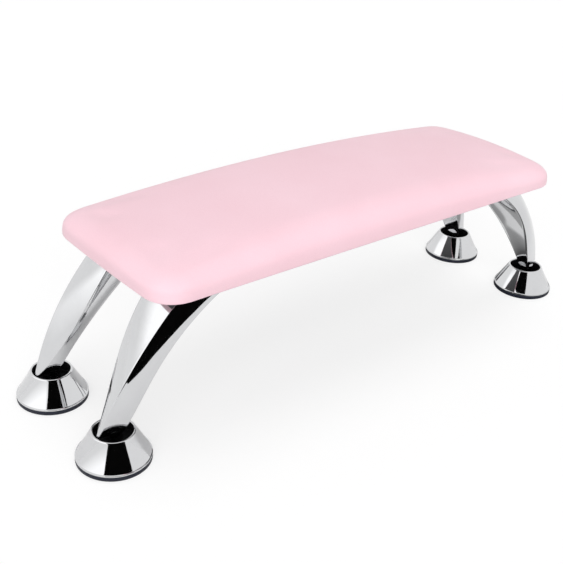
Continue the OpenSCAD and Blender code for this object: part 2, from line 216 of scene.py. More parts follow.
def draw_out(name, rings):
    """A skin through rings of equal count, with flat ends."""
    piece = start_ring(name, rings[0])
    number_points(piece)
    edit(piece)
    bpy.ops.mesh.select_all(action="SELECT")
    bpy.ops.mesh.edge_face_add()
    bpy.ops.mesh.select_all(action="SELECT")
    for ring in rings[1:]:
        bpy.ops.mesh.extrude_edges_move(**HOLD)
        place_selected(piece, ring)
    bpy.ops.mesh.edge_face_add()
    bpy.ops.object.mode_set(mode="OBJECT")
    piece.data.attributes.remove(piece.data.attributes["number"])
    return face_outwards(piece)


def copy_piece(piece, name, scale=(1, 1, 1)):
    """A copy with its own mesh, mirrored where a scale is minus one."""
    copy = piece.copy()
    copy.data = piece.data.copy()
    copy.name = copy.data.name = name
    bpy.context.scene.collection.objects.link(copy)
    copy.scale = scale
    settle(copy)
    return face_outwards(copy)


def at_every_corner(piece, name, angle):
    """Copies a piece of the rear right corner to all four, and removes the first."""
    copies = {}
    for corner, (sx, sy) in CORNERS.items():
        copies[corner] = smooth(copy_piece(piece, name + corner, (sx, sy, 1)), angle)
    bpy.data.objects.remove(piece, do_unlink=True)
    return copies


def mix(a, b, share):
    """The value at a share of the way from a to b."""
    return a + (b - a) * share


# %% [markdown]
# The cushion is leatherette pulled over foam on a board. Seen from above it is a rounded rectangle
# whose ends bow out a little. Its top is crowned both ways, its upper edge is a wide soft roll, and
# its side draws in where the cover is pulled round the board.
# It could be made by inflating a box, but the photograph shows a taut cover with a clear outline.
# So a grid is laid to the measured form first. Cloth simulation then lets the cover find its own
# rest, with the turned-in hem pinned where the staples hold it.
# The numbers below are the frame's own sizes of the cushion.

# %% Measures of the cushion
HALF_L, HALF_W = 170.5 * MM, 61 * MM
HEM_Z, RIM_Z = 100.5 * MM, 112.5 * MM
CORNER_R = 18 * MM
ROLL_W, ROLL_H = 13 * MM, 7 * MM
CROWN_LONG, CROWN_CROSS = 8.4 * MM, 3.8 * MM
END_BOW = 1.5 * MM
DRAW_IN = 1.5 * MM
RIM_RISE_SHARE = 0.4
HEM_W, COVER_T = 22 * MM, 1 * MM


def crown(x, y):
    """Rise of the crown over the rim."""
    return CROWN_LONG * (1 - (x / HALF_L) ** 2) + CROWN_CROSS * (1 - (y / HALF_W) ** 2)


def past_corner(x, y, half_l=HALF_L, half_w=HALF_W, radius=CORNER_R):
    """How far a place lies past the middle of its corner's arc, along X and along Y."""
    return abs(x) - (half_l - radius), abs(y) - (half_w - radius)


def edge_distance(x, y):
    """Distance inwards from the cushion's rounded outline."""
    qx, qy = past_corner(x, y)
    return CORNER_R - math.hypot(max(qx, 0), max(qy, 0)) - min(max(qx, qy), 0)


def top_height(x, y):
    """Height of the cushion's top at a place inside its outline."""
    climb = min(max(edge_distance(x, y) / ROLL_W, 0), 1)
    rise = math.sqrt(1 - (1 - climb) ** 2)
    return RIM_Z - ROLL_H + ROLL_H * rise + mix(RIM_RISE_SHARE, 1, rise) * crown(x, y)


def bow(x, y):
    """Lets the cushion's ends bow out between their corners."""
    return x * (1 - END_BOW / HALF_L * (y / HALF_W) ** 2)


def round_corner(x, y, half_l=HALF_L, half_w=HALF_W, radius=CORNER_R):
    """Moves a point of a rectangle's square corner onto the rounded one."""
    qx, qy = past_corner(x, y, half_l, half_w, radius)
    if qx <= 0 or qy <= 0:
        return x, y
    share = max(qx, qy) / math.hypot(qx, qy)
    return (
        math.copysign(half_l - radius + qx * share, x),
        math.copysign(half_w - radius + qy * share, y),
    )


print("cushion top at the middle:", round(top_height(0, 0) / MM, 1), "mm")

# %% [markdown]
# The top starts as a grid of points about 4 mm apart. The lines crowd together towards the edge,
# where the roll turns fast. Points in the four square corners slide onto the round ones.

# %% Lay the top
GRID_X, GRID_Y = 88, 34
ROLL_LINES = 6


def line_place(index, count, half):
    """Place of a grid line: fine steps on the roll at both edges, even steps between."""
    from_edge = min(index, count - index)
    sign = -1 if index < count - index else 1
    if from_edge <= ROLL_LINES:
        inset = ROLL_W * (1 - math.cos(math.pi / 2 * from_edge / ROLL_LINES))
        return sign * (half - inset)
    inner = half - ROLL_W
    return mix(-inner, inner, (index - ROLL_LINES) / (count - 2 * ROLL_LINES))


def lay_top():
    """The cushion's top as a grid on the measured form."""
    piece = start_grid("cushion_cover", GRID_X, GRID_Y)
    for point in piece.data.vertices:
        i = round((point.co.x + 1) / 2 * GRID_X)
        j = round((point.co.y + 1) / 2 * GRID_Y)
        x, y = round_corner(line_place(i, GRID_X, HALF_L), line_place(j, GRID_Y, HALF_W))
        point.co = (bow(x, y), y, top_height(x, y))
    return piece


cushion = lay_top()
print("top of the cushion:", len(cushion.data.vertices), "points")

# %% [markdown]
# The side and the hem come from the grid's own rim: it is extruded down the side, drawn in under
# the edge, and then turned in flat under the board for 22 mm. At the corners there is too much
# cover for the shorter path inside, so it lies in pleats, a little lower than the flat hem.

# %% Turn the side and the hem in
PLEAT_DEPTH = 0.35 * MM
PLEATS, PLEAT_START = 3, 6
SIDE_STEPS = [(0.0, 0.45), (0.0, 0.2), (0.25, 0.09), (1.0, 0.0)]
HEM_STEPS = [0.12, 0.2, 0.32, 0.5, 0.75, 1.0]


def inset_place(x, y, inset):
    """Place on the outline drawn in by an inset, for a point of the full outline."""
    radius = max(CORNER_R - inset, MM)
    cx, cy = HALF_L - inset - radius, HALF_W - inset - radius
    qx, qy = past_corner(x, y)
    if qx > 0 and qy > 0:
        length = math.hypot(qx, qy)
        px, py = cx + radius * qx / length, cy + radius * qy / length
    elif qx > 0:
        px, py = cx + radius, abs(y) * cy / (HALF_W - CORNER_R)
    else:
        px, py = abs(x) * cx / (HALF_L - CORNER_R), cy + radius
    return math.copysign(px, x), math.copysign(py, y)


def pleat(x, y):
    """How far the pleats of a corner stand down at a point of the outline, from 0 to 1."""
    qx, qy = past_corner(x, y)
    if qx <= 0 or qy <= 0:
        return 0
    turn = math.atan2(qy, qx) / (math.pi / 2)
    return math.sin(math.pi * turn) * math.sin(PLEATS * math.pi * turn) ** 2


def extrude_rim(piece, place):
    """Extrudes the selected rim and moves each new point to place(first x, first y)."""
    bpy.ops.mesh.extrude_edges_move(**HOLD)
    mesh = bmesh.from_edit_mesh(piece.data)
    first_x, first_y = (mesh.verts.layers.float[name] for name in ("first_x", "first_y"))
    for point in mesh.verts:
        if point.select:
            point.co = place(point[first_x], point[first_y])
    bmesh.update_edit_mesh(piece.data)


def side_place(inset, share):
    """A step of the side: its inset and its height as shares of the draw-in and the side."""

    def place(x, y):
        px, py = inset_place(x, y, inset * DRAW_IN)
        top = RIM_Z - ROLL_H + RIM_RISE_SHARE * crown(x, y)
        return bow(px, py), py, mix(HEM_Z, top, share)

    return place


def hem_place(share):
    """A step of the hem, turned in flat under the board."""

    def place(x, y):
        px, py = inset_place(x, y, mix(DRAW_IN, HEM_W, share))
        low = PLEAT_DEPTH * pleat(x, y) * min(1, PLEAT_START * share)
        return bow(px, py), py, HEM_Z - low

    return place


def turn_in(piece):
    """Extrudes the rim of the top into the side and the hem."""
    for name in ("first_x", "first_y"):
        piece.data.attributes.new(name, "FLOAT", "POINT")
    for point in piece.data.vertices:
        i, j = point.index % (GRID_X + 1), point.index // (GRID_X + 1)
        x, y = round_corner(line_place(i, GRID_X, HALF_L), line_place(j, GRID_Y, HALF_W))
        piece.data.attributes["first_x"].data[point.index].value = x
        piece.data.attributes["first_y"].data[point.index].value = y
    edit(piece)
    bpy.ops.mesh.select_mode(type="EDGE")
    bpy.ops.mesh.select_non_manifold(extend=False, use_boundary=True)
    for inset, share in SIDE_STEPS:
        extrude_rim(piece, side_place(inset, share))
    for share in HEM_STEPS:
        extrude_rim(piece, hem_place(share))
    bpy.ops.object.mode_set(mode="OBJECT")
    for name in ("first_x", "first_y"):
        piece.data.attributes.remove(piece.data.attributes[name])
    return face_outwards(piece)


turn_in(cushion)
print("cover with side and hem:", len(cushion.data.polygons), "faces")

# %% [markdown]
# The cover is stapled along its hem and stretched over the foam, so the foam pushes it out between
# the staples and the roll settles to an even curve. Blender's Cloth does that with some pressure
# from inside and no gravity. The hem and the foot of the side are pinned. A real cover this taut
# moves very little, so no point may go further than a small cap. The simulation doesn't come out
# quite the same each time: points of the finished cover can lie up to 0.2 mm apart.

# %% Let the cover settle as cloth
CLOTH_PRESSURE = 4
CLOTH_FRAMES = 20
CLOTH_CAP = 0.6 * MM
CLOTH_START = 0.2 * MM
PIN_Z = HEM_Z + 3 * MM


def pin_hem(piece):
    """A vertex group that holds the hem and the foot of the side."""
    group = piece.vertex_groups.new(name="stapled")
    held = [v.index for v in piece.data.vertices if v.co.z < PIN_Z]
    group.add(held, 1.0, "REPLACE")
    return group.name, len(held)


def settle_as_cloth(piece):
    """Runs the cloth from a slightly smaller start, and caps how far each point moved."""
    goal = [v.co.copy() for v in piece.data.vertices]
    group, held = pin_hem(piece)
    for v in piece.data.vertices:
        if v.co.z >= PIN_Z:
            v.co -= v.normal * CLOTH_START
    modifier = piece.modifiers.new("cloth", "CLOTH")
    cloth = modifier.settings
    cloth.quality = 6
    cloth.mass = 0.2
    cloth.tension_stiffness = cloth.compression_stiffness = 20
    cloth.bending_stiffness = 2
    cloth.vertex_group_mass = group
    cloth.use_pressure = True
    cloth.uniform_pressure_force = CLOTH_PRESSURE
    cloth.effector_weights.gravity = 0
    modifier.point_cache.frame_start, modifier.point_cache.frame_end = 1, CLOTH_FRAMES
    for number in range(1, CLOTH_FRAMES + 1):
        bpy.context.scene.frame_set(number)
    take(piece)
    bpy.ops.object.modifier_apply(modifier=modifier.name)
    bpy.context.scene.frame_set(1)
    furthest = 0
    for v, home in zip(piece.data.vertices, goal):
        way = v.co - home
        furthest = max(furthest, way.length)
        if way.length > CLOTH_CAP:
            v.co = home + way * (CLOTH_CAP / way.length)
    piece.vertex_groups.clear()
    return held, furthest


held_points, furthest_move = settle_as_cloth(cushion)
print("pinned points:", held_points, "furthest move:", round(furthest_move / MM, 2), "mm")

# %% [markdown]
# The foam fills the cover. It starts as a copy of the settled cover, drawn in by the leatherette
# and a hair of air, cut level above the hem and closed. Then the board and the flanges of the tee
# nuts are cut out of it, so it wraps the board's edge as real foam does. One helper makes the
# rounded slabs that stand for flat parts: a cube at the right size with its upright edges bevelled.

# %% Foam core
SKIN_GAP, FOAM_FOOT = 1.3 * MM, 2 * MM
TOUCH = 0.01 * MM
BOARD_TOP_Z, BOARD_INSET, SOFT_GAP = 107.5 * MM, 3.5 * MM, 0.3 * MM
FLANGE_R, FLANGE_T = 7 * MM, 1 * MM


def rounded_slab(low, high, radius, ease=0.0):
    """A flat slab between two corners, with round corners and, if asked, eased edges."""
    deselect_all()
    bpy.ops.mesh.primitive_cube_add(size=1, location=(low + high) / 2, scale=high - low)
    piece = settle(bpy.context.object)
    mesh = edit(piece)
    bpy.ops.mesh.select_mode(type="EDGE")
    for line in mesh.edges:
        line.select_set(abs(line.verts[0].co.z - line.verts[1].co.z) > TOUCH)
    bpy.ops.mesh.bevel(offset=radius, segments=8, affect="EDGES")
    if ease:
        bpy.ops.mesh.select_mode(type="FACE")
        bpy.ops.mesh.select_all(action="DESELECT")
        mesh = bmesh.from_edit_mesh(piece.data)
        for face in mesh.faces:
            face.select_set(abs(face.normal.z) > 0.9)
        bpy.ops.mesh.bevel(offset=ease, segments=2, affect="EDGES")
    bpy.ops.object.mode_set(mode="OBJECT")
    return piece


def round_rod(radius, low, high, place, top_radius=None):
    """An upright round rod or cone between two heights."""
    deselect_all()
    bpy.ops.mesh.primitive_cone_add(
        vertices=64,
        radius1=radius,
        radius2=radius if top_radius is None else top_radius,
        depth=high - low,
        location=(place[0], place[1], (low + high) / 2),
    )
    return settle(bpy.context.object)


def combine(piece, tool, operation):
    """Joins a tool to a piece or cuts it away, and removes the tool."""
    apply_modifier(piece, "BOOLEAN", object=tool, operation=operation, solver="EXACT")
    bpy.data.objects.remove(tool, do_unlink=True)
    return piece


def fill_with_foam(cover):
    """The foam core that fills the settled cover."""
    foam = copy_piece(cover, "foam_filling")
    apply_modifier(foam, "DISPLACE", strength=-SKIN_GAP, mid_level=0.0)
    edit(foam)
    bpy.ops.mesh.select_all(action="SELECT")
    cut = (0, 0, HEM_Z + FOAM_FOOT)
    bpy.ops.mesh.bisect(plane_co=cut, plane_no=(0, 0, 1), clear_inner=True, use_fill=True)
    bpy.ops.object.mode_set(mode="OBJECT")
    face_outwards(foam)
    reach = Vector((HALF_L - END_BOW - BOARD_INSET + SOFT_GAP, HALF_W - BOARD_INSET + SOFT_GAP, 0))
    low = Vector((-reach.x, -reach.y, HEM_Z - MM))
    high = Vector((reach.x, reach.y, BOARD_TOP_Z))
    combine(foam, rounded_slab(low, high, CORNER_R - BOARD_INSET + SOFT_GAP), "DIFFERENCE")
    flanges = []
    for sx, sy in CORNERS.values():
        for u, v in SCREW_PLACES:
            spot = (sx * (FOOT_X + u * MM), sy * (FOOT_Y + v * MM))
            top = BOARD_TOP_Z + FLANGE_T + SOFT_GAP
            flanges.append(round_rod(FLANGE_R + SOFT_GAP, BOARD_TOP_Z - MM, top, spot))
    deselect_all()
    for flange in flanges:
        flange.select_set(True)
    bpy.context.view_layer.objects.active = flanges[0]
    bpy.ops.object.join()
    combine(foam, flanges[0], "DIFFERENCE")
    return smooth(face_outwards(foam), 40)


foam = fill_with_foam(cushion)
print("foam filling:", triangles(foam), "triangles")

# %% [markdown]
# One subdivision rounds the grid off, and Solidify gives the leatherette its millimetre, inwards.

# %% Give the cover its thickness
apply_modifier(cushion, "SUBSURF", levels=1, render_levels=1)
apply_modifier(cushion, "SOLIDIFY", thickness=COVER_T, offset=-1)
smooth(cushion, 60)
print("cushion cover:", triangles(cushion), "triangles")

# %% [markdown]
# The dust cover is a sheet of black non-woven cloth stapled under the board, over the raw edge of
# the hem. It is a rounded rectangle that lies flat, apart from faint ripples away from its edge.

# %% Dust cover
LINER_INSET = 5 * MM
LINER_L, LINER_W = HALF_L - END_BOW - LINER_INSET, HALF_W - LINER_INSET
LINER_TOP, LINER_T = 100.45 * MM, 0.35 * MM
RIPPLE, RIPPLE_LONG, RIPPLE_CROSS = 0.06 * MM, 9 * MM, 7 * MM
LINER_GRID_X, LINER_GRID_Y = 164, 56


def lay_liner():
    """The dust cover as a fine grid with round corners, five millimetres inside the cushion."""
    piece = start_grid("dust_cover", LINER_GRID_X, LINER_GRID_Y)
    for point in piece.data.vertices:
        u, v = point.co.x * LINER_L, point.co.y * LINER_W
        x, y = round_corner(u, v, LINER_L, LINER_W, CORNER_R - LINER_INSET)
        near = min(max(edge_distance(x, y) / LINER_INSET - 1, 0), 1)
        wave = math.sin(x / RIPPLE_LONG) * math.cos(y / RIPPLE_CROSS) * near
        point.co = (x, y, LINER_TOP - RIPPLE * (1 + wave))
    apply_modifier(piece, "SOLIDIFY", thickness=LINER_T, offset=-1)
    return smooth(face_outwards(piece), 50)


liner = lay_liner()
print("dust cover:", [round(d / MM, 1) for d in liner.dimensions], "mm")

# %% [markdown]
# A leg is one chromed casting. It rises from the foot as a slim four-sided horn, leans inwards in a
# curve, and widens and twists until it meets a flat fixing plate under the cushion.
# Four ridges run up it: two along the outer face, two along the scooped inner face. Polished metal
# shows every bump in its reflections, so the horn is drawn out in many fine steps from the ridges'
# own curves, which were fitted to the photograph, and not from a few rough sections.

# %% Curves of a leg's four ridges
HORN_Z, PLATE_Z, LEG_TOP_Z = 18 * MM, 97 * MM, 100 * MM
LEG_RUN, LEG_W = 70 * MM, 34 * MM
TOE = [(10.8, 1.443), (-3.2, 5.328), (-1.2, -5.772), (10.8, -1.443)]
TOP_RUN = [0.647, 1, 0.983, 0.584]
TOP_WIDTH = [0.218, 0.424, -0.565, -0.535]
BOW_RUN = [0.109, 0.16, 0.127, 0.02]
LEAN_RUN = [0.014, 0.096, 0.009, 0.059]
BOW_WIDTH = [0.044, 0.034, -0.063, -0.158]
RIDGE_ROUND, ROUND_LIMIT = 1.0 * MM, 0.36
SCOOP, FACE_SWELL, TOE_SWELL = 3.0 * MM, 1.2 * MM, 0.25 * MM
SIDE_SWELL, SWELL_LIFT = 1.9 * MM, 2.4
RIDGE_STEPS, FACE_STEPS, HORN_STEPS = 5, 12, 72


def ridge(i, t):
    """Place of one ridge at a share of the horn's height, from the middle of its foot."""
    arch = 4 * t * (1 - t)
    toe_u, toe_v = TOE[i][0] * MM, TOE[i][1] * MM
    bend = BOW_RUN[i] + LEAN_RUN[i] * (2 * t - 1)
    u = mix(toe_u, -TOP_RUN[i] * LEG_RUN, t) + arch * bend * LEG_RUN
    v = mix(toe_v, TOP_WIDTH[i] * LEG_W, t) + arch * BOW_WIDTH[i] * LEG_W
    return Vector((u, v))


def rounded_ridge(before, here, after):
    """Points of a rounded ridge between its two neighbours."""
    s = min(RIDGE_ROUND / (before - here).length, ROUND_LIMIT)
    e = min(RIDGE_ROUND / (after - here).length, ROUND_LIMIT)
    p, q = here.lerp(before, s), here.lerp(after, e)
    steps = [k / RIDGE_STEPS for k in range(RIDGE_STEPS + 1)]
    return [p.lerp(here, k).lerp(here.lerp(q, k), k) for k in steps]


def swollen_face(a, b, swell):
    """Points across a face, pushed out by a swell, or in where it is negative."""
    way = b - a
    out = Vector((way.y, -way.x)).normalized()
    steps = [k / FACE_STEPS for k in range(1, FACE_STEPS)]
    return [a.lerp(b, k) + out * swell * 4 * k * (1 - k) for k in steps]


def horn_section(t):
    """The closed outline of the horn at a share of its height."""
    r = [ridge(i, t) for i in range(4)]
    c = [rounded_ridge(r[i - 1], r[i], r[(i + 1) % 4]) for i in range(4)]
    lift = t**SWELL_LIFT
    side = TOE_SWELL * (1 - t) + SIDE_SWELL * 4 * lift * (1 - lift)
    swells = [side, mix(TOE_SWELL, -SCOOP, t), side, mix(TOE_SWELL, FACE_SWELL, t)]
    outline = []
    for i in range(4):
        outline += c[i] + swollen_face(c[i][-1], c[(i + 1) % 4][0], swells[i])
    return outline


print("points round a section:", len(horn_section(0.5)))

# %% [markdown]
# Cast metal has no sharp inner corners, so the horn flares into its plate with a small fillet, and
# its lower end is eased before it goes into the foot. Both are extra sections. For the flare, the
# outline is pushed out by a little more at each step. For the toe it is drawn towards its middle,
# because pushing a tight curve inwards would fold it over, and a folded skin can't be cut later.

# %% Sections of the horn
FLARE, TOE_EASE, TOE_SHARE = 2.2 * MM, 0.6 * MM, 0.1
FLARE_STEPS, PLATE_SINK = 7, 0.8 * MM
TOE_STEPS = (0.0, 0.3, 0.6, 1.0)


def widened(outline, by):
    """An outline with each point pushed out by the same distance."""
    count = len(outline)
    result = []
    for k, point in enumerate(outline):
        along = outline[(k + 1) % count] - outline[k - 1]
        result.append(point + Vector((along.y, -along.x)).normalized() * by)
    return result


def at_foot(u, v, z=0.0):
    """A place by its distances outwards from the middle of the rear right foot."""
    return Vector((FOOT_X + u, FOOT_Y + v, z))


def horn_ring(z, by=0.0, draw=0.0):
    """A ring of places at a height, pushed out by a distance or drawn in by a share."""
    outline = horn_section((z - HORN_Z) / (LEG_TOP_Z - HORN_Z))
    middle = sum(outline, Vector((0, 0))) / len(outline)
    return [at_foot(*p.lerp(middle, draw), z) for p in (widened(outline, by) if by else outline)]


def horn_rings():
    """All rings of the horn, from its eased toe to its flare inside the plate."""
    flare_z = PLATE_Z - FLARE
    rings = []
    for k in TOE_STEPS:
        turn = math.pi / 2 * k
        ease_z = HORN_Z + TOE_EASE * (1 - math.cos(turn))
        rings.append(horn_ring(ease_z, draw=TOE_SHARE * (1 - math.sin(turn))))
    start = HORN_Z + TOE_EASE
    rings += [horn_ring(mix(start, flare_z, k / HORN_STEPS)) for k in range(1, HORN_STEPS + 1)]
    for k in range(1, FLARE_STEPS + 1):
        turn = math.pi / 2 * k / FLARE_STEPS
        rings.append(horn_ring(flare_z + FLARE * math.sin(turn), FLARE * (1 - math.cos(turn))))
    rings.append(horn_ring(PLATE_Z + PLATE_SINK, FLARE))
    return rings


horn = draw_out("horn", horn_rings())
print("horn:", triangles(horn), "triangles")

# %% [markdown]
# The fixing plate is a flat rounded rectangle with eased edges. It starts as a cube at the plate's
# size, whose four upright edges are bevelled to the corner radius. Below the horn, a short round
# boss carries the levelling stud. The three bodies are joined, and the stud's bore and the three
# countersunk screw holes are cut with Boolean modifiers, as a machinist would after casting.

# %% Plate, boss and holes
PLATE_OUT, PLATE_IN = -40.88 * MM, -83 * MM
PLATE_UP, PLATE_DOWN = 16.02 * MM, -32.2 * MM
PLATE_R, PLATE_EASE = 6 * MM, 0.45 * MM
BOSS_R, BOSS_Z, BOSS_TOP_Z = 5.6 * MM, 12.3 * MM, 20.7 * MM
STUD_R, BORE_TOP_Z = 2.55 * MM, 26 * MM
SCREW_R, SCREW_HEAD_R, SCREW_HEAD_H = 2.25 * MM, 4.05 * MM, 2 * MM
CASTING_ANGLE = 32


def finish_casting(piece):
    """Joins plate and boss to the horn, and cuts the bore and the screw holes."""
    low = at_foot(PLATE_IN, PLATE_DOWN, PLATE_Z)
    high = at_foot(PLATE_OUT, PLATE_UP, LEG_TOP_Z)
    combine(piece, rounded_slab(low, high, PLATE_R, PLATE_EASE), "UNION")
    combine(piece, round_rod(BOSS_R, BOSS_Z, BOSS_TOP_Z, at_foot(0, 0)), "UNION")
    combine(piece, round_rod(STUD_R, BOSS_Z - MM, BORE_TOP_Z, at_foot(0, 0)), "DIFFERENCE")
    for u, v in SCREW_PLACES:
        spot = at_foot(u * MM, v * MM)
        combine(piece, round_rod(SCREW_R, PLATE_Z - MM, LEG_TOP_Z + MM, spot), "DIFFERENCE")
        sink = round_rod(SCREW_HEAD_R + MM, PLATE_Z - MM, PLATE_Z + SCREW_HEAD_H, spot, SCREW_R)
        combine(piece, sink, "DIFFERENCE")
    return smooth(face_outwards(piece), CASTING_ANGLE)


legs = at_every_corner(finish_casting(horn), "chrome_leg_", CASTING_ANGLE)
print("leg:", triangles(legs["rear_right"]), "triangles")

# %% [markdown]
# Each foot is a hollow chromed cone with a lipped base, a straight wall and a rounded rim. A web
# inside it holds the stud. It is a turned part, so its half outline is drawn once and spun round
# the foot's axis. Doubles on the axis and the seam are merged before the normals are set.

# %% Cone of a foot
SPIN_STEPS, TURNED_ANGLE = 96, 25
CONE_OUTLINE = [
    (22.0, 3.0), (22.0, 3.1), (22.0, 3.65), (21.92, 3.82), (21.75, 3.9), (21.35, 4.02), (21.2, 4.2),
    (13.06, 18.65), (12.98, 18.95), (12.78, 19.25), (12.5, 19.43), (12.2, 19.5), (11.95, 19.46),
    (11.72, 19.33), (11.56, 19.1), (11.5, 18.8), (11.5, 18.2), (15.8, 9.3), (15.6, 8.95),
    (15.2, 8.9), (2.6, 8.9), (2.55, 8.85), (2.55, 6.95), (2.6, 6.9), (17.4, 6.9), (17.9, 6.7),
    (19.3, 4.3), (20.2, 4.1), (20.2, 3.05), (20.25, 3.0),
]
PAD_OUTLINE = [
    (0.0, 0.05), (10.2, 0.0), (10.2, 0.8), (11.8, 0.8), (11.8, 0.0), (14.16, 0.0), (14.16, 0.8),
    (15.76, 0.8), (15.76, 0.0), (18.12, 0.0), (18.12, 0.8), (19.72, 0.8), (19.72, 0.0), (21.4, 0.0),
    (21.75, 0.1), (21.95, 0.35), (22.0, 0.7), (22.0, 2.7), (21.92, 2.92), (21.75, 3.0),
    (19.3, 3.0), (19.25, 5.4), (19.1, 5.5), (17.4, 5.5), (17.3, 5.4), (17.3, 3.0), (0.0, 3.0),
]


def turned(name, outline):
    """A turned part of the rear right foot from its half outline, in millimetres."""
    piece = start_ring(name, [(radius * MM, 0, z * MM) for radius, z in outline])
    mesh = edit(piece)
    axis = [e for e in mesh.edges if all(abs(v.co.x) < TOUCH for v in e.verts)]
    bmesh.ops.delete(mesh, geom=axis, context="EDGES_FACES")
    bmesh.update_edit_mesh(piece.data)
    bpy.ops.mesh.select_all(action="SELECT")
    bpy.ops.mesh.spin(steps=SPIN_STEPS, angle=2 * math.pi, center=(0, 0, 0), axis=(0, 0, 1))
    bpy.ops.object.mode_set(mode="OBJECT")
    face_outwards(piece)
    for point in piece.data.vertices:
        point.co += at_foot(0, 0)
    return piece


cones = at_every_corner(turned("cone", CONE_OUTLINE), "chrome_cone_", TURNED_ANGLE)
pads = at_every_corner(turned("pad", PAD_OUTLINE), "rubber_pad_", TURNED_ANGLE)
print("cone:", triangles(cones["rear_right"]), "pad:", triangles(pads["rear_right"]), "triangles")

# %% [markdown]
# Every finish starts the same way: a material with its Principled shader, and the piece's own place
# in space as the coordinate, so a grain has its true size. Numbers that are the same all over a
# surface are set on the shader itself. What changes over the surface comes from node groups.

# %% Helpers for finishes


def fill_inputs(tree, node, values):
    """Gives a node its inputs: a socket is linked, and anything else is written in."""
    for name, value in values.items():
        if isinstance(value, bpy.types.NodeSocket):
            tree.links.new(value, node.inputs[name])
        else:
            node.inputs[name].default_value = value
    return node


def add_node(tree, kind, values=None, **settings):
    """A node with its settings and its inputs."""
    node = tree.nodes.new(kind)
    for name, value in settings.items():
        setattr(node, name, value)
    return fill_inputs(tree, node, values or {})


def new_finish(name, roughness, metallic=0.0, more=None):
    """A material, its node tree, and its Principled shader with plain numbers set."""
    material = bpy.data.materials.new(name)
    material.use_nodes = True
    tree = material.node_tree
    values = {"Roughness": roughness, "Metallic": metallic, **(more or {})}
    return material, tree, fill_inputs(tree, tree.nodes["Principled BSDF"], values)


def dress(tree, shader, colour, normal, roughness=None):
    """Gives a shader the colour, the normal and, where it varies, the roughness of its finish."""
    fill_inputs(tree, shader, {"Base Color": colour, "Normal": normal})
    if roughness is not None:
        fill_inputs(tree, shader, {"Roughness": roughness})


def place_of(tree):
    """The piece's own coordinates, in metres."""
    return add_node(tree, "ShaderNodeTexCoord").outputs["Object"]


def axes_of(tree, vector):
    """A vector's X, Y and Z."""
    return add_node(tree, "ShaderNodeSeparateXYZ", {"Vector": vector}).outputs


def noise(tree, place, scale, detail=2.0, roughness=0.5, stretch=None):
    """Noise whose features are about one over scale metres across."""
    if stretch:
        mapping = {"Vector": place, "Scale": stretch}
        place = add_node(tree, "ShaderNodeMapping", mapping).outputs["Vector"]
    values = {"Vector": place, "Scale": scale, "Detail": detail, "Roughness": roughness}
    return add_node(tree, "ShaderNodeTexNoise", values).outputs["Fac"]


def spread(tree, value, from_low, from_high, to_low=0, to_high=1):
    """Maps a value from one range to another and keeps it inside."""
    values = {"Value": value, "From Min": from_low, "From Max": from_high}
    values.update({"To Min": to_low, "To Max": to_high})
    return add_node(tree, "ShaderNodeMapRange", values).outputs["Result"]


def combined(tree, operation, *values):
    """The result of a sum, a product or the like."""
    node = add_node(tree, "ShaderNodeMath", dict(enumerate(values)), operation=operation)
    return node.outputs["Value"]


def band(tree, value, low, high, soft):
    """One where a value lies between two bounds, with soft edges."""
    rise = spread(tree, value, low - soft, low + soft)
    fall = spread(tree, value, high - soft, high + soft, 1, 0)
    return combined(tree, "MULTIPLY", rise, fall)


def blend_colours(tree, share, first, second):
    """A mix of two colours; each is a colour or a socket."""
    values = {0: share}
    for number, value in ((6, first), (7, second)):
        values[number] = value if isinstance(value, bpy.types.NodeSocket) else (*value, 1)
    return add_node(tree, "ShaderNodeMix", values, data_type="RGBA").outputs[2]


def grey(level):
    """An even grey."""
    return (level, level, level)


def add_bump(tree, height, distance, strength=1.0):
    """A normal from a height, whose full range stands for a distance in metres."""
    values = {"Height": height, "Distance": distance, "Strength": strength}
    return add_node(tree, "ShaderNodeBump", values).outputs["Normal"]


def new_group(name, number, value, results):
    """A shader node group with one number going in and named numbers coming out."""
    group = bpy.data.node_groups.new(name, "ShaderNodeTree")
    socket = group.interface.new_socket(number, in_out="INPUT", socket_type="NodeSocketFloat")
    socket.default_value = value
    for label in results:
        group.interface.new_socket(label, in_out="OUTPUT", socket_type="NodeSocketFloat")
    start, end = group.nodes.new("NodeGroupInput"), group.nodes.new("NodeGroupOutput")
    return group, start.outputs[number], end


def use_group(tree, group, **values):
    """Places a group in a material with its own values."""
    return add_node(tree, "ShaderNodeGroup", values, node_tree=group).outputs


# %% [markdown]
# Three effects are shared. "Handling" is the thin, patchy film that fingers and cloths leave, which
# shows as small changes of gloss. "Leather grain" is the pebbled emboss of leatherette: cells with
# soft creases between them, broken up by finer noise. "Worn edges" finds the outer edges of a
# piece, where plating and paint rub through first.

# %% Shared effects
WOBBLE, FINE_GRAIN = 1.2 * MM, 0.25


def build_handling():
    """Patchy film of use: broad clouds, broken by finer ones."""
    group, scale, end = new_group("handling", "Scale", 40, ["Mask"])
    values = {0: place_of(group), "Scale": scale}
    place = add_node(group, "ShaderNodeVectorMath", values, operation="SCALE").outputs["Vector"]
    broad = spread(group, noise(group, place, 1.0, 3), 0.38, 0.7)
    fine = spread(group, noise(group, place, 7.0, 4, 0.6), 0.3, 0.75, 0.3, 1)
    fill_inputs(group, end, {"Mask": combined(group, "MULTIPLY", broad, fine)})
    return group


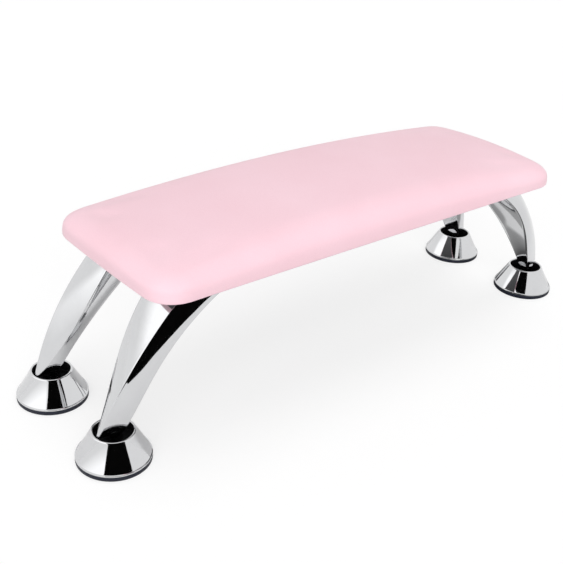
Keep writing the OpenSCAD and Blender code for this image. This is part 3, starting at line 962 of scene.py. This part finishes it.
def build_leather_grain():
    """Height of a pebbled grain, and a mask of its creases."""
    group, cells, end = new_group("leather_grain", "Cells", 900, ["Height", "Crease"])
    place = place_of(group)
    wobble = add_node(group, "ShaderNodeTexNoise", {"Vector": place, "Scale": 400, "Detail": 1})
    values = {0: wobble.outputs["Color"], 1: grey(WOBBLE), 2: place}
    bent = add_node(group, "ShaderNodeVectorMath", values, operation="MULTIPLY_ADD")
    values = {"Vector": bent.outputs["Vector"], "Scale": cells}
    pattern = add_node(group, "ShaderNodeTexVoronoi", values, feature="DISTANCE_TO_EDGE")
    from_edge = pattern.outputs["Distance"]
    pebble = spread(group, from_edge, 0.0, 0.28)
    fine = noise(group, place, 2600, 2)
    height = combined(group, "MULTIPLY_ADD", fine, FINE_GRAIN, pebble)
    fill_inputs(group, end, {"Height": height, "Crease": spread(group, from_edge, 0.0, 0.12, 1, 0)})
    return group


def build_worn_edges():
    """Outer edges of a piece, broken up by noise."""
    group, sharpness, end = new_group("worn_edges", "Sharpness", 0.56, ["Mask"])
    pointed = add_node(group, "ShaderNodeNewGeometry").outputs["Pointiness"]
    edge = spread(group, pointed, sharpness, 0.66)
    patch = spread(group, noise(group, place_of(group), 350, 3), 0.4, 0.62)
    fill_inputs(group, end, {"Mask": combined(group, "MULTIPLY", edge, patch)})
    return group


handling = build_handling()
leather_grain = build_leather_grain()
worn_edges = build_worn_edges()
print("shared effects:", [g.name for g in (handling, leather_grain, worn_edges)])

# %% [markdown]
# The cover is very pale pink leatherette with a soft, almost matt face. Its grain is fine: in the
# photograph it only softens the light. The colour is nearly even, darker and warmer in the creases
# as painted shade, and a touch paler where the face is worn by forearms.

# %% Pink leatherette
PINK = (0.893, 0.600, 0.668)
PINK_PALE = (0.915, 0.635, 0.706)
# painted shade: the colour drawn into the grain's creases
PINK_CREASE_SHADE = (0.79, 0.49, 0.56)
CREASE_SHADE_SHARE, GRAIN_DEPTH = 0.22, 0.06 * MM


def finish_leatherette():
    """Pale pink leatherette with a fine pebbled grain and painted shade in its creases."""
    skin = {"Specular IOR Level": 0.35, "Sheen Weight": 0.12, "Sheen Roughness": 0.6}
    material, tree, shader = new_finish("pink_leatherette", 0.5, more=skin)
    grain = use_group(tree, leather_grain, Cells=1050)
    rub = use_group(tree, handling, Scale=22)["Mask"]
    patch = spread(tree, noise(tree, place_of(tree), 14, 2), 0.35, 0.65)
    face = blend_colours(tree, patch, PINK, PINK_PALE)
    # painted shade in the grain's creases
    crease_shade = combined(tree, "MULTIPLY", grain["Crease"], CREASE_SHADE_SHARE)
    colour = blend_colours(tree, crease_shade, face, PINK_CREASE_SHADE)
    normal = add_bump(tree, grain["Height"], GRAIN_DEPTH, 0.5)
    dress(tree, shader, colour, normal, spread(tree, rub, 0, 1, 0.52, 0.44))
    return material


cushion.data.materials.append(finish_leatherette())
print("cushion's finish:", cushion.data.materials[0].name)

# %% [markdown]
# The legs and cones are polished and chromed. Chrome has hardly any colour of its own, so almost
# all that is seen is its surroundings. What makes it look real is what is not perfect: the castings
# are very slightly wavy from polishing, and a thin film of handling dulls the gloss in patches.
# Plating hardly reaches the inside of a cone, so the faces there get a second, rough finish of
# unplated metal, near black as painted shade in the hollow.

# %% Bright chrome
CHROME, CHROME_FILM = (0.665, 0.67, 0.68), (0.63, 0.632, 0.645)


def finish_chrome(name, wave, film):
    """Polished chrome with a faint wave of a given depth and a film of handling."""
    material, tree, shader = new_finish(name, 0.06, 1.0)
    use = use_group(tree, handling, Scale=45)["Mask"]
    colour = blend_colours(tree, use, CHROME, CHROME_FILM)
    normal = add_bump(tree, noise(tree, place_of(tree), 55, 1), wave)
    dress(tree, shader, colour, normal, spread(tree, use, 0, 1, 0.05, film))
    return material


def finish_raw_casting_and_shade():
    """Unplated metal made near black as painted shade: rough, with lighter specks where the casting
    sand marked it.
    """
    material, tree, shader = new_finish("raw_casting_and_shade", 0.6, 0.7)
    specks = spread(tree, noise(tree, place_of(tree), 1500, 3), 0.45, 0.7)
    # near-black colour: painted shade inside the cone's hollow
    colour = blend_colours(tree, specks, (0.025, 0.025, 0.028), (0.075, 0.075, 0.08))
    dress(tree, shader, colour, add_bump(tree, specks, 0.12 * MM))
    return material


cast_chrome = finish_chrome("cast_chrome", 0.06 * MM, 0.13)
turned_chrome = finish_chrome("turned_chrome", 0.01 * MM, 0.09)
raw_casting_and_shade = finish_raw_casting_and_shade()
for leg in legs.values():
    leg.data.materials.append(cast_chrome)

# %% [markdown]
# A face is inside a cone where it lies below the rim and nearer to the axis than the outer wall.

# %% Line the cones
WALL_R, WALL_Z, WALL_SLOPE = 21.2 * MM, 4.2 * MM, 0.5633
WALL_SKIN, LINING_TOP_Z = 0.9 * MM, 18.9 * MM


def line_cone(cone, sx, sy):
    """Gives every face inside a cone the second finish, and counts them."""
    cone.data.materials.append(turned_chrome)
    cone.data.materials.append(raw_casting_and_shade)
    inner = 0
    for face in cone.data.polygons:
        u, v = face.center.x - sx * FOOT_X, face.center.y - sy * FOOT_Y
        wall = WALL_R - (face.center.z - WALL_Z) * WALL_SLOPE
        if face.center.z < LINING_TOP_Z and math.hypot(u, v) < wall - WALL_SKIN:
            face.material_index = 1
            inner += 1
    return inner


inner_faces = [line_cone(cones[corner], sx, sy) for corner, (sx, sy) in CORNERS.items()]
print("faces inside each cone:", inner_faces)

# %% [markdown]
# The pads are dark blue-black rubber with a satin skin, dusty where they touch the table.

# %% Pad rubber
RUBBER, RUBBER_DUST, DUST_H = (0.010, 0.012, 0.022), (0.05, 0.05, 0.055), 1.2 * MM


def finish_rubber():
    """Blue-black satin rubber, greyed by dust low down."""
    material, tree, shader = new_finish("pad_rubber", 0.5, more={"Specular IOR Level": 0.3})
    place = place_of(tree)
    use = use_group(tree, handling, Scale=60)["Mask"]
    low = spread(tree, axes_of(tree, place)["Z"], 0.0, DUST_H, 1, 0)
    colour = blend_colours(tree, combined(tree, "MULTIPLY", low, use), RUBBER, RUBBER_DUST)
    normal = add_bump(tree, noise(tree, place, 1400, 2), 0.03 * MM)
    dress(tree, shader, colour, normal, spread(tree, use, 0, 1, 0.36, 0.6))
    return material


pad_rubber = finish_rubber()
for pad in pads.values():
    pad.data.materials.append(pad_rubber)
print("pads' finish:", pad_rubber.name)

# %% [markdown]
# Non-woven dust cover cloth is a mat of short fibres pressed together, with rows of tiny welded
# points. The fibres are stretched noise in two directions, and the welds a fine grid of dimples.

# %% Dust cover cloth
CLOTH_DARK, CLOTH_LIGHT = (0.03, 0.03, 0.033), (0.16, 0.16, 0.168)


def finish_dust_cover():
    """Black non-woven cloth: crossed fibres and welded points."""
    material, tree, shader = new_finish("dust_cover_cloth", 0.85, more={"Sheen Weight": 0.25})
    place = place_of(tree)
    lengthwise = noise(tree, place, 900, 3, 0.6, stretch=(0.15, 1, 1))
    crosswise = noise(tree, place, 900, 3, 0.6, stretch=(1, 0.2, 1))
    fibres = combined(tree, "MAXIMUM", lengthwise, crosswise)
    values = {"Vector": place, "Scale": 620, "Randomness": 0.12}
    welds = add_node(tree, "ShaderNodeTexVoronoi", values).outputs["Distance"]
    height = combined(tree, "MULTIPLY", fibres, spread(tree, welds, 0.1, 0.32))
    colour = blend_colours(tree, height, CLOTH_DARK, CLOTH_LIGHT)
    dress(tree, shader, colour, add_bump(tree, height, 0.15 * MM))
    return material


liner.data.materials.append(finish_dust_cover())
print("dust cover's finish:", liner.data.materials[0].name)

# %% [markdown]
# The fasteners and the hidden parts keep the frame's own shapes. Screws, nuts, studs and staples
# are zinc plated: a pale, faintly bluish or yellowish film over steel, duller than chrome, with
# darker worn edges. The board is plywood on its faces and edges, and the core is open-cell foam.

# %% Zinc, plywood and foam
ZINC_WORN = (0.30, 0.29, 0.28)
WOOD_DARK, WOOD_LIGHT, WOOD_EDGE = (0.50, 0.33, 0.18), (0.70, 0.52, 0.33), (0.22, 0.13, 0.07)
FOAM_PIT_SHADE, FOAM_FACE = (0.62, 0.55, 0.38), (0.90, 0.86, 0.72)


def finish_zinc(name, colour, tint, roughness):
    """Zinc plating that clouds from one colour to another and wears darker at its edges."""
    material, tree, shader = new_finish(name, roughness, 1.0)
    place = place_of(tree)
    cloud = spread(tree, noise(tree, place, 260, 3), 0.35, 0.65)
    plated = blend_colours(tree, cloud, colour, tint)
    worn = use_group(tree, worn_edges, Sharpness=0.54)["Mask"]
    final = blend_colours(tree, worn, plated, ZINC_WORN)
    normal = add_bump(tree, noise(tree, place, 2500, 2), 0.015 * MM)
    patch = noise(tree, place, 900, 3)
    gloss = spread(tree, patch, 0.3, 0.7, roughness - 0.08, roughness + 0.1)
    dress(tree, shader, final, normal, gloss)
    return material


def finish_plywood():
    """Birch plywood: long grain on the faces, thin dark and pale layers on the edges."""
    material, tree, shader = new_finish("plywood", 0.7)
    place = place_of(tree)
    grain = noise(tree, place, 320, 5, 0.65, stretch=(0.06, 1, 1))
    face = blend_colours(tree, grain, WOOD_DARK, WOOD_LIGHT)
    values = {"Vector": place, "Scale": 115, "Distortion": 0.6}
    layers = add_node(tree, "ShaderNodeTexWave", values, bands_direction="Z").outputs["Fac"]
    facing = add_node(tree, "ShaderNodeNewGeometry").outputs["Normal"]
    upright = combined(tree, "ABSOLUTE", axes_of(tree, facing)["Z"])
    edge = spread(tree, upright, 0.3, 0.6, 0.7, 0)
    dark = combined(tree, "MULTIPLY", edge, layers)
    colour = blend_colours(tree, dark, face, WOOD_EDGE)
    dress(tree, shader, colour, add_bump(tree, grain, 0.1 * MM))
    return material


def finish_foam():
    """Open-cell foam: cream, with a fine pattern of small open cells whose pits are darker as
    painted shade.
    """
    material, tree, shader = new_finish("cushion_foam", 0.95)
    values = {"Vector": place_of(tree), "Scale": 1300}
    cells = add_node(tree, "ShaderNodeTexVoronoi", values).outputs["Distance"]
    depth = spread(tree, cells, 0.1, 0.6)
    # painted shade: the cells' pits are darker
    colour = blend_colours(tree, depth, FOAM_PIT_SHADE, FOAM_FACE)
    dress(tree, shader, colour, add_bump(tree, depth, 0.3 * MM))
    return material


blue_zinc = finish_zinc("blue_zinc", (0.66, 0.68, 0.71), (0.58, 0.61, 0.67), 0.3)
yellow_zinc = finish_zinc("yellow_zinc", (0.70, 0.62, 0.42), (0.66, 0.60, 0.48), 0.35)
staple_zinc = finish_zinc("staple_zinc", (0.62, 0.62, 0.62), (0.50, 0.50, 0.51), 0.4)
CARRIED_OVER = {
    "leg_screws": blue_zinc,
    "tee_nuts": yellow_zinc,
    "cover_staples": staple_zinc,
    "liner_staples": staple_zinc,
    "base_board": finish_plywood(),
}
foam.data.materials.append(finish_foam())
for corner in CORNERS:
    CARRIED_OVER["foot_stud_" + corner] = blue_zinc
    CARRIED_OVER["lock_nut_" + corner] = blue_zinc
for node, finish in CARRIED_OVER.items():
    for slot in bpy.data.objects[node].material_slots:
        slot.material = finish
print("carried-over nodes with a new finish:", len(CARRIED_OVER))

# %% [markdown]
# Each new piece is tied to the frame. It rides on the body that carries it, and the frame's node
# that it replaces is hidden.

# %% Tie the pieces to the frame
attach(cushion, "rest")
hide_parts("cover")

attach(foam, "rest")
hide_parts("foam_core")

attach(liner, "rest")
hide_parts("bottom_liner")

for corner in CORNERS:
    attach(legs[corner], "rest")
    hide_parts("leg_" + corner)
    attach(cones[corner], "cone_" + corner)
    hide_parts("foot_cone_" + corner)
    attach(pads[corner], "pad_" + corner)
    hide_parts("foot_pad_" + corner)

# %% [markdown]
# The floor is a plain white sheet. Most of the white that the camera sees there is given by an
# emission that only camera rays see, so the shadow of the rest stays soft and pale, as it is in a
# brightened product photograph. Mirrors see a floor that is mostly lit, with a smaller given part,
# so the undersides of the chrome are darker. Light that bounces off the floor is not changed.
# Seen from below the floor is clear, so that the underside of the rest can be looked at.
# The front right leg mirrors a small stretch of floor beside its foot. Painted shade is laid on
# that floor, where the ray from the camera over the leg meets it: grey bands with a pale lens
# between them, which paint the leg's reflection. It fits this camera only, and only mirrors see it.

# %% Floor
FLOOR_SIZE, FLOOR_DROP = 24, 0.1 * MM
FLOOR_ALBEDO = 0.72
FLOOR_LIT_CAMERA, FLOOR_GIVEN_CAMERA = 0.28, 0.73
FLOOR_LIT_MIRROR, FLOOR_GIVEN_MIRROR = 0.90, 0.08
# painted shade and a pale lens on the floor beside the front right foot, seen only by mirrors
PAINTED_SHADE_X, PAINTED_SHADE_Y, PAINTED_SHADE_SOFT = (140 * MM, 222 * MM), (-62 * MM, 30 * MM), 6 * MM
PAINTED_LENS_X, PAINTED_LENS_Y, PAINTED_LENS_SOFT = (164.2 * MM, 175 * MM), -3.5 * MM, 0.9 * MM
SHADE_BAND_LIT, SHADE_BAND_DARK, SHADE_BAND_Y = 0.42, 0.03, (-10.5 * MM, -3.5 * MM)


def ray_kind(tree, kind):
    """One where a ray is of a kind, such as "Is Camera Ray"."""
    return add_node(tree, "ShaderNodeLightPath").outputs[kind]


def painted_shade_beside_foot(tree):
    """Share of light that mirrors see beside the front right foot: painted shade with a pale lens.
    """
    place = axes_of(tree, place_of(tree))
    x, y = place["X"], place["Y"]
    behind = spread(tree, y, PAINTED_LENS_Y - PAINTED_LENS_SOFT, PAINTED_LENS_Y + PAINTED_LENS_SOFT)
    lens = combined(tree, "MULTIPLY", band(tree, x, *PAINTED_LENS_X, PAINTED_LENS_SOFT), behind)
    patch = combined(tree, "MAXIMUM", lens, spread(tree, y, *SHADE_BAND_Y, SHADE_BAND_DARK, SHADE_BAND_LIT))
    across = band(tree, x, *PAINTED_SHADE_X, PAINTED_SHADE_SOFT)
    near = combined(tree, "MULTIPLY", across, band(tree, y, *PAINTED_SHADE_Y, PAINTED_SHADE_SOFT))
    return combined(tree, "MAXIMUM", spread(tree, near, 0, 1, 1, 0), patch)


def finish_floor():
    """White that differs for the camera, for mirrors and for bounced light."""
    material, tree, shader = new_finish("white_floor", 1.0, more={"Specular IOR Level": 0.0})
    camera_ray = ray_kind(tree, "Is Camera Ray")
    mirror_ray = ray_kind(tree, "Is Glossy Ray")
    # mirrors see the painted shade beside the front right foot
    mirrored = blend_colours(tree, painted_shade_beside_foot(tree), grey(0), grey(FLOOR_LIT_MIRROR))
    albedo = blend_colours(tree, mirror_ray, grey(FLOOR_ALBEDO), mirrored)
    albedo = blend_colours(tree, camera_ray, albedo, grey(FLOOR_LIT_CAMERA))
    given = blend_colours(tree, camera_ray, grey(FLOOR_GIVEN_MIRROR), grey(FLOOR_GIVEN_CAMERA))
    seen = combined(tree, "MAXIMUM", camera_ray, mirror_ray)
    values = {"Base Color": albedo, "Emission Color": given, "Emission Strength": seen}
    fill_inputs(tree, shader, values)
    clear = add_node(tree, "ShaderNodeBsdfTransparent").outputs["BSDF"]
    from_below = add_node(tree, "ShaderNodeNewGeometry").outputs["Backfacing"]
    values = {0: from_below, 1: shader.outputs["BSDF"], 2: clear}
    surface = add_node(tree, "ShaderNodeMixShader", values).outputs["Shader"]
    fill_inputs(tree, tree.nodes["Material Output"], {"Surface": surface})
    return material


def lay_floor():
    """A wide white floor just under the pads."""
    deselect_all()
    bpy.ops.mesh.primitive_plane_add(size=FLOOR_SIZE, location=(0, 0, -FLOOR_DROP))
    floor = settle(bpy.context.object)
    floor.name = "floor"
    floor.data.materials.append(finish_floor())
    return floor


print("floor:", round(lay_floor().dimensions.x, 1), "m wide")

# %% [markdown]
# Chrome in a plain white studio looks white and shapeless, so a product photographer hangs black
# cards where the metal mirrors them. The sides of the black wedges in the four cones of the
# photograph point at one upright card, in front of the rest and a little below the camera. It is
# seen only in mirror reflections: it hides no light and throws no shadow.

# %% Black card
CARD_CORNERS = [
    (-0.362, -0.166, 0.040), (-0.322, -0.195, 0.003), (-0.250, -0.248, 0.003),
    (-0.226, -0.266, 0.022), (-0.048, -0.397, 0.001), (-0.048, -0.397, 0.47), (-0.46, -0.094, 0.47),
]
CARD_BLACK = 0.004


def hang_card(name, corners_of_card):
    """A black card that only mirror reflections see."""
    card = start_ring(name, corners_of_card, fill="NGON")
    black = {"Base Color": (*grey(CARD_BLACK), 1), "Specular IOR Level": 0.0}
    card.data.materials.append(new_finish(name, 1.0, more=black)[0])
    card.visible_camera = card.visible_diffuse = card.visible_shadow = False
    card.visible_transmission = card.visible_volume_scatter = False
    return card


card = hang_card("black_card", CARD_CORNERS)
print("black card:", len(card.data.vertices), "corners")

# %% [markdown]
# The room is an even white for the camera, and a softer grey for the light that it gives. Mirrors
# see the same white, with a broad soft box on the left that is half as bright again: it puts the
# white strips beside the black ones. It is drawn by direction, in fixed directions of the room.
# Two suns with wide discs are the soft lamps; being suns they light the whole floor evenly. The
# shadow in the photograph lies almost straight under the cushion, so one lamp hangs overhead. The
# cushion's front is as light as its top, but casts no second shadow, so the other lamp stands low
# in front, where its shadow falls far behind.

# %% Room and lamp
ROOM_LIGHT, ROOM_SEEN, BOX_SEEN = 0.40, 1.0, 1.5
BOX_FROM, BOX_TO, BOX_SIDE_SOFT = math.radians(-98), math.radians(-8), math.radians(5)
BOX_LOW, BOX_HIGH, BOX_FOOT_SOFT = math.radians(13), math.radians(70), math.radians(7)
FRONT, SIDE, UP = (-0.656, -0.755, 0), (0.755, -0.656, 0), (0, 0, 1)
LAMPS = {
    "overhead_lamp": (Vector((0.14, 0.05, 0.99)), math.radians(40), 1.05),
    "front_lamp": (Vector((-0.62, -0.70, 0.34)), math.radians(60), 2.35),
}


def along(tree, direction, axis):
    """How far a direction points along an axis."""
    values = {0: direction, 1: axis}
    return add_node(tree, "ShaderNodeVectorMath", values, operation="DOT_PRODUCT").outputs["Value"]


def light_room():
    """The world: grey as a light, white for the camera, white with a bright box in mirrors."""
    world = bpy.data.worlds.new("room")
    bpy.context.scene.world = world
    world.use_nodes = True
    tree = world.node_tree
    way = add_node(tree, "ShaderNodeTexCoord").outputs["Generated"]
    turn = combined(tree, "ARCTAN2", along(tree, way, SIDE), along(tree, way, FRONT))
    climb = combined(tree, "ARCSINE", along(tree, way, UP))
    across = band(tree, turn, BOX_FROM, BOX_TO, BOX_SIDE_SOFT)
    box = combined(tree, "MULTIPLY", across, band(tree, climb, BOX_LOW, BOX_HIGH, BOX_FOOT_SOFT))
    mirrored = blend_colours(tree, box, grey(ROOM_SEEN), grey(BOX_SEEN))
    other = blend_colours(tree, ray_kind(tree, "Is Camera Ray"), grey(ROOM_LIGHT), grey(ROOM_SEEN))
    colour = blend_colours(tree, ray_kind(tree, "Is Glossy Ray"), other, mirrored)
    fill_inputs(tree, tree.nodes["Background"], {"Color": colour})


def hang_lamp(name, come_from, angle, strength):
    """A soft sun that shines from a direction."""
    data = bpy.data.lights.new(name, "SUN")
    data.angle = angle
    data.energy = strength
    lamp = bpy.data.objects.new(name, data)
    lamp.rotation_euler = (-come_from).to_track_quat("-Z", "Y").to_euler()
    lamp.visible_glossy = False
    bpy.context.scene.collection.objects.link(lamp)
    return lamp


light_room()
lamps = [hang_lamp(name, *values) for name, values in LAMPS.items()]
bpy.context.scene.view_settings.view_transform = "Standard"
print("lamps:", {lamp.name: lamp.data.energy for lamp in lamps})
